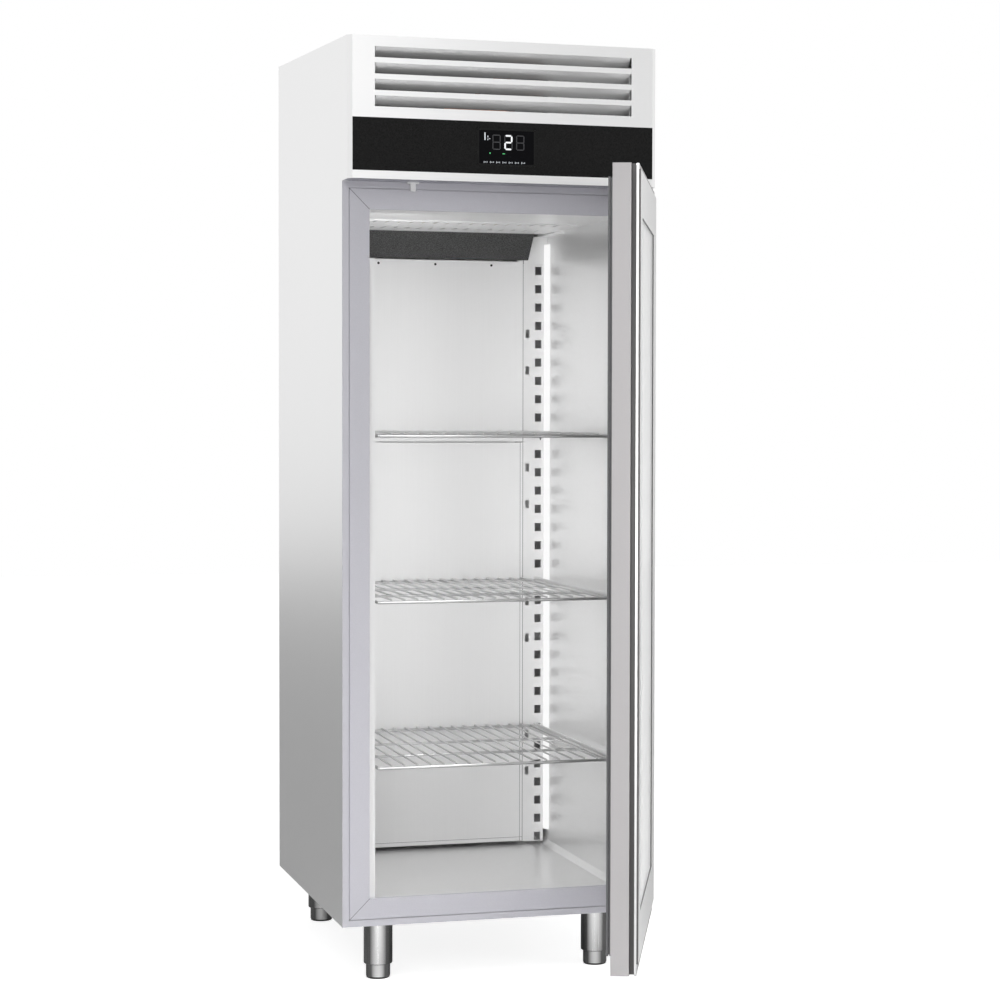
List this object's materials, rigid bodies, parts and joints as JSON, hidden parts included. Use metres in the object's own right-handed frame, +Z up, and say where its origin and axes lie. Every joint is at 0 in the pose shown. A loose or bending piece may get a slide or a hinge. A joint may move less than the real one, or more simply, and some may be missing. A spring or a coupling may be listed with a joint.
{
  "type": "glass door commercial refrigerator",
  "caption": "Tall stainless upright refrigerator with a hinged glass door, louvred head with control display, wire shelves on runners and adjustable feet.",
  "frame": {"origin": "on the floor, at the middle of the footprint taken with the door open as in the picture; x = 0 is the cabinet's middle plane", "axes": "+X to the right seen from the front (hinge side), +Y from the front to the back, +Z up"},
  "size_m": [0.6924, 1.458, 2.064],
  "materials": {
    "stainless_outside": "satin",
    "stainless_inside": "satin",
    "wire_steel": "satin",
    "frame_grey": "matte",
    "foam": "matte",
    "black_band": "gloss",
    "black_plastic": "matte",
    "display_black": "gloss",
    "white_plastic": "matte",
    "dark_plate": "matte",
    "lamp_white": "matte",
    "door_profile": "satin",
    "door_face": "satin",
    "bright_strip": "polished",
    "gasket_grey": "matte",
    "clear_glass": "gloss",
    "bush_plastic": "matte",
    "leg_steel": "satin",
    "hinge_steel": "satin",
    "copper": "satin",
    "fin_aluminium": "satin",
    "galvanised": "satin",
    "black_steel": "satin",
    "fan_plastic": "matte",
    "screw_black": "satin"
  },
  "bodies": {
    "cabinet": {"side_panel_left": "stainless_outside", "side_panel_right": "stainless_outside", "back_panel": "galvanised", "base_panel": "galvanised", "machine_deck": "galvanised", "top_cover": "galvanised", "rear_grille": "galvanised", "insulation": "foam", "inner_liner": "stainless_inside", "frame_strip_left": "frame_grey", "frame_strip_right": "frame_grey", "frame_strip_top": "frame_grey", "frame_strip_bottom": "frame_grey", "header_fascia": "stainless_outside", "louvre_blades": "stainless_outside", "control_band": "black_band", "display_module": "display_black", "display_glass": "display_black", "door_sensor": "white_plastic", "hinge_upper": "hinge_steel", "hinge_lower": "hinge_steel", "rack_uprights_rear": "stainless_inside", "rack_uprights_front": "stainless_inside", "shelf_runners": "stainless_inside", "duct_panel_lower": "stainless_inside", "duct_panel_upper": "stainless_inside", "duct_screws": "screw_black", "ceiling_grille": "stainless_inside", "fan_cover_plate": "dark_plate", "led_strips": "lamp_white", "legs": "leg_steel", "evaporator_case": "white_plastic", "evaporator_coil": "fin_aluminium", "evaporator_fan_frame": "galvanised", "condenser_coil": "fin_aluminium", "condenser_fan_frame": "galvanised", "compressor": "black_steel", "refrigerant_pipes": "copper", "controller_box": "black_plastic", "cable_gland": "black_plastic"},
    "door": {"door_stile_handle": "door_profile", "door_stile_hinge": "door_profile", "door_handle_strip": "bright_strip", "door_bushes": "bush_plastic", "door_rail_top": "door_profile", "door_rail_bottom": "door_profile", "door_face_frame": "door_face", "glass_outer": "clear_glass", "glass_inner": "clear_glass", "glass_spacer": "galvanised", "door_gasket": "gasket_grey"},
    "foot_front_left": {"foot_front_left": "leg_steel"},
    "foot_front_right": {"foot_front_right": "leg_steel"},
    "foot_rear_left": {"foot_rear_left": "leg_steel"},
    "foot_rear_right": {"foot_rear_right": "leg_steel"},
    "shelf_top": {"shelf_top": "wire_steel"},
    "shelf_middle": {"shelf_middle": "wire_steel"},
    "shelf_bottom": {"shelf_bottom": "wire_steel"},
    "evaporator_fan": {"evaporator_fan_rotor": "fan_plastic"},
    "condenser_fan": {"condenser_fan_rotor": "fan_plastic"}
  },
  "joints": [
    {"name": "door_hinge", "type": "hinge", "parent": "cabinet", "child": "door", "pos_m": [0.32, -0.10048, 0.9], "axis": [0, 0, 1], "range_deg": [-69.4, 40.6]},
    {"name": "shelf_top_slide", "type": "slide", "parent": "cabinet", "child": "shelf_top", "axis": [0, -1, 0], "range_m": [0, 0.07]},
    {"name": "shelf_middle_slide", "type": "slide", "parent": "cabinet", "child": "shelf_middle", "axis": [0, -1, 0], "range_m": [0, 0.07]},
    {"name": "shelf_bottom_slide", "type": "slide", "parent": "cabinet", "child": "shelf_bottom", "axis": [0, -1, 0], "range_m": [0, 0.07]},
    {"name": "foot_front_left_screw", "type": "slide", "parent": "cabinet", "child": "foot_front_left", "axis": [0, 0, 1], "range_m": [-0.03, 0.02]},
    {"name": "foot_front_right_screw", "type": "slide", "parent": "cabinet", "child": "foot_front_right", "axis": [0, 0, 1], "range_m": [-0.03, 0.02]},
    {"name": "foot_rear_left_screw", "type": "slide", "parent": "cabinet", "child": "foot_rear_left", "axis": [0, 0, 1], "range_m": [-0.03, 0.02]},
    {"name": "foot_rear_right_screw", "type": "slide", "parent": "cabinet", "child": "foot_rear_right", "axis": [0, 0, 1], "range_m": [-0.03, 0.02]},
    {"name": "evaporator_fan_spin", "type": "hinge", "parent": "cabinet", "child": "evaporator_fan", "pos_m": [0, 0.56302, 1.8445], "axis": [0, 1, 0], "continuous": true},
    {"name": "condenser_fan_spin", "type": "hinge", "parent": "cabinet", "child": "condenser_fan", "pos_m": [0.212, -0.01298, 1.8545], "axis": [0, 1, 0], "continuous": true}
  ]
}
